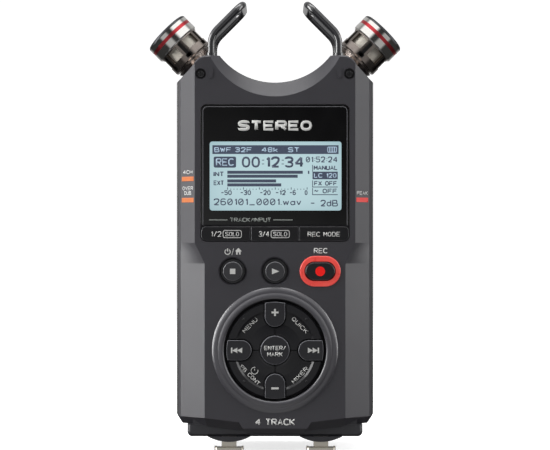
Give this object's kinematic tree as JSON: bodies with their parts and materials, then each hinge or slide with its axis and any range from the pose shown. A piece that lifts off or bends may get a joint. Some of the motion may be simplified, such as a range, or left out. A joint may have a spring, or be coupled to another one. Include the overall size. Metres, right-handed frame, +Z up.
{
  "type": "handheld voice recorder",
  "caption": "Upright pocket audio recorder with two swivelling microphones, wire guards, a display, a round key pad and combination jacks below.",
  "frame": {"origin": "on the middle line below the case, level with the feet of the jack latches, centred in width and depth", "axes": "+Z up along the case towards the microphones, +Y from the face to the back, +X to the user's right"},
  "size_m": [0.0906, 0.0351, 0.1595],
  "materials": {
    "cover_plastic": "fine matte texture",
    "shell_plastic": "fine matte texture",
    "window_gloss": "polished",
    "lcd_glass": "backlit",
    "circuit_board": "solder mask",
    "silicone": "matte",
    "feet_rubber": "matte",
    "key_plastic": "satin",
    "red_light": "translucent",
    "guard_metal": "satin black",
    "steel": "satin",
    "brass": "machined",
    "speaker_metal": "plain",
    "cell_jacket": "printed sleeve",
    "jack_plastic": "moulded",
    "mic_bronze": "champagne anodised",
    "mic_chrome": "polished nickel colour",
    "mic_mesh": "woven mesh",
    "mic_red": "anodised"
  },
  "bodies": {
    "case": {"front_cover": "cover_plastic", "rear_shell": "shell_plastic", "connector_block": "cover_plastic", "display_window": "window_gloss", "lcd_module": "lcd_glass", "main_board": "circuit_board", "keypad_mat": "silicone", "wheel_ring": "cover_plastic", "rec_light_ring": "red_light", "bevel_lights": "red_light", "guard_left": "guard_metal", "guard_right": "guard_metal", "pivot_pins": "steel", "shoulder_screws": "steel", "case_screws": "steel", "rubber_feet": "feet_rubber", "tripod_insert": "brass", "speaker": "speaker_metal", "battery_cells": "cell_jacket", "battery_contacts": "steel", "jack_left": "jack_plastic", "jack_right": "jack_plastic", "jack_contacts": "brass", "side_jacks": "jack_plastic", "usb_port": "steel", "card_socket": "steel"},
    "mic_left": {"mic_base_left": "mic_bronze", "mic_barrel_left": "mic_bronze", "mic_capsule_left": "mic_mesh", "mic_cap_left": "mic_chrome", "mic_band_left": "mic_red"},
    "mic_right": {"mic_base_right": "mic_bronze", "mic_barrel_right": "mic_bronze", "mic_capsule_right": "mic_mesh", "mic_cap_right": "mic_chrome", "mic_band_right": "mic_red"},
    "track_a_key": {"track_a_key": "key_plastic"},
    "track_b_key": {"track_b_key": "key_plastic"},
    "mode_key": {"mode_key": "key_plastic"},
    "stop_key": {"stop_key": "key_plastic"},
    "play_key": {"play_key": "key_plastic"},
    "rec_key": {"rec_key": "key_plastic"},
    "enter_key": {"enter_key": "key_plastic"},
    "plus_key": {"plus_key": "key_plastic"},
    "forward_key": {"forward_key": "key_plastic"},
    "minus_key": {"minus_key": "key_plastic"},
    "back_key": {"back_key": "key_plastic"},
    "quick_key": {"quick_key": "key_plastic"},
    "mixer_key": {"mixer_key": "key_plastic"},
    "speed_key": {"speed_key": "key_plastic"},
    "menu_key": {"menu_key": "key_plastic"},
    "latch_left": {"latch_left": "steel"},
    "latch_right": {"latch_right": "steel"},
    "volume_rocker": {"volume_rocker": "key_plastic"},
    "level_rocker": {"level_rocker": "key_plastic"},
    "hold_switch": {"hold_switch": "key_plastic"},
    "input_switch": {"input_switch": "key_plastic"},
    "card_door": {"card_door": "shell_plastic"},
    "battery_cover": {"battery_cover": "shell_plastic"}
  },
  "joints": [
    {"name": "mic_left_swivel", "type": "hinge", "parent": "case", "child": "mic_left", "pos_m": [-0.0251, 0, 0.1352], "axis": [0, 1, 0], "range_deg": [0, 90]},
    {"name": "mic_right_swivel", "type": "hinge", "parent": "case", "child": "mic_right", "pos_m": [0.0251, 0, 0.1352], "axis": [0, -1, 0], "range_deg": [0, 90]},
    {"name": "track_a_key_press", "type": "slide", "parent": "case", "child": "track_a_key", "axis": [0, 1, 0], "range_m": [0, 0.0006], "stiffness_N_per_m": 1200, "springref_m": -0.0003},
    {"name": "track_b_key_press", "type": "slide", "parent": "case", "child": "track_b_key", "axis": [0, 1, 0], "range_m": [0, 0.0006], "stiffness_N_per_m": 1200, "springref_m": -0.0003},
    {"name": "mode_key_press", "type": "slide", "parent": "case", "child": "mode_key", "axis": [0, 1, 0], "range_m": [0, 0.0006], "stiffness_N_per_m": 1200, "springref_m": -0.0003},
    {"name": "stop_key_press", "type": "slide", "parent": "case", "child": "stop_key", "axis": [0, 1, 0], "range_m": [0, 0.0006], "stiffness_N_per_m": 1200, "springref_m": -0.0003},
    {"name": "play_key_press", "type": "slide", "parent": "case", "child": "play_key", "axis": [0, 1, 0], "range_m": [0, 0.0006], "stiffness_N_per_m": 1200, "springref_m": -0.0003},
    {"name": "rec_key_press", "type": "slide", "parent": "case", "child": "rec_key", "axis": [0, 1, 0], "range_m": [0, 0.0006], "stiffness_N_per_m": 1200, "springref_m": -0.0003},
    {"name": "enter_key_press", "type": "slide", "parent": "case", "child": "enter_key", "axis": [0, 1, 0], "range_m": [0, 0.0006], "stiffness_N_per_m": 1200, "springref_m": -0.0003},
    {"name": "plus_key_press", "type": "slide", "parent": "case", "child": "plus_key", "axis": [0, 1, 0], "range_m": [0, 0.0006], "stiffness_N_per_m": 1200, "springref_m": -0.0003},
    {"name": "forward_key_press", "type": "slide", "parent": "case", "child": "forward_key", "axis": [0, 1, 0], "range_m": [0, 0.0006], "stiffness_N_per_m": 1200, "springref_m": -0.0003},
    {"name": "minus_key_press", "type": "slide", "parent": "case", "child": "minus_key", "axis": [0, 1, 0], "range_m": [0, 0.0006], "stiffness_N_per_m": 1200, "springref_m": -0.0003},
    {"name": "back_key_press", "type": "slide", "parent": "case", "child": "back_key", "axis": [0, 1, 0], "range_m": [0, 0.0006], "stiffness_N_per_m": 1200, "springref_m": -0.0003},
    {"name": "quick_key_press", "type": "slide", "parent": "case", "child": "quick_key", "axis": [0, 1, 0], "range_m": [0, 0.0006], "stiffness_N_per_m": 1200, "springref_m": -0.0003},
    {"name": "mixer_key_press", "type": "slide", "parent": "case", "child": "mixer_key", "axis": [0, 1, 0], "range_m": [0, 0.0006], "stiffness_N_per_m": 1200, "springref_m": -0.0003},
    {"name": "speed_key_press", "type": "slide", "parent": "case", "child": "speed_key", "axis": [0, 1, 0], "range_m": [0, 0.0006], "stiffness_N_per_m": 1200, "springref_m": -0.0003},
    {"name": "menu_key_press", "type": "slide", "parent": "case", "child": "menu_key", "axis": [0, 1, 0], "range_m": [0, 0.0006], "stiffness_N_per_m": 1200, "springref_m": -0.0003},
    {"name": "latch_left_press", "type": "slide", "parent": "case", "child": "latch_left", "axis": [0, 0, 1], "range_m": [0, 0.0015], "stiffness_N_per_m": 800, "springref_m": -0.0005},
    {"name": "latch_right_press", "type": "slide", "parent": "case", "child": "latch_right", "axis": [0, 0, 1], "range_m": [0, 0.0015], "stiffness_N_per_m": 800, "springref_m": -0.0005},
    {"name": "volume_rocker_tilt", "type": "hinge", "parent": "case", "child": "volume_rocker", "pos_m": [-0.034, 0.002, 0.11585], "axis": [0, 1, 0], "range_deg": [-3, 3], "stiffness_Nm_per_rad": 0.05},
    {"name": "level_rocker_tilt", "type": "hinge", "parent": "case", "child": "level_rocker", "pos_m": [0.0341, 0.002, 0.099], "axis": [0, 1, 0], "range_deg": [-2, 2], "stiffness_Nm_per_rad": 0.05},
    {"name": "hold_switch_slide", "type": "slide", "parent": "case", "child": "hold_switch", "axis": [0, 0, 1], "range_m": [0, 0.002]},
    {"name": "input_switch_slide", "type": "slide", "parent": "case", "child": "input_switch", "axis": [0, 0, -1], "range_m": [0, 0.002]},
    {"name": "card_door_hinge", "type": "hinge", "parent": "case", "child": "card_door", "pos_m": [0.0343, 0.00585, 0.0615], "axis": [0, 0, 1], "range_deg": [0, 95]},
    {"name": "battery_cover_slide", "type": "slide", "parent": "case", "child": "battery_cover", "axis": [0, 0, -1], "range_m": [0, 0.0055]}
  ]
}
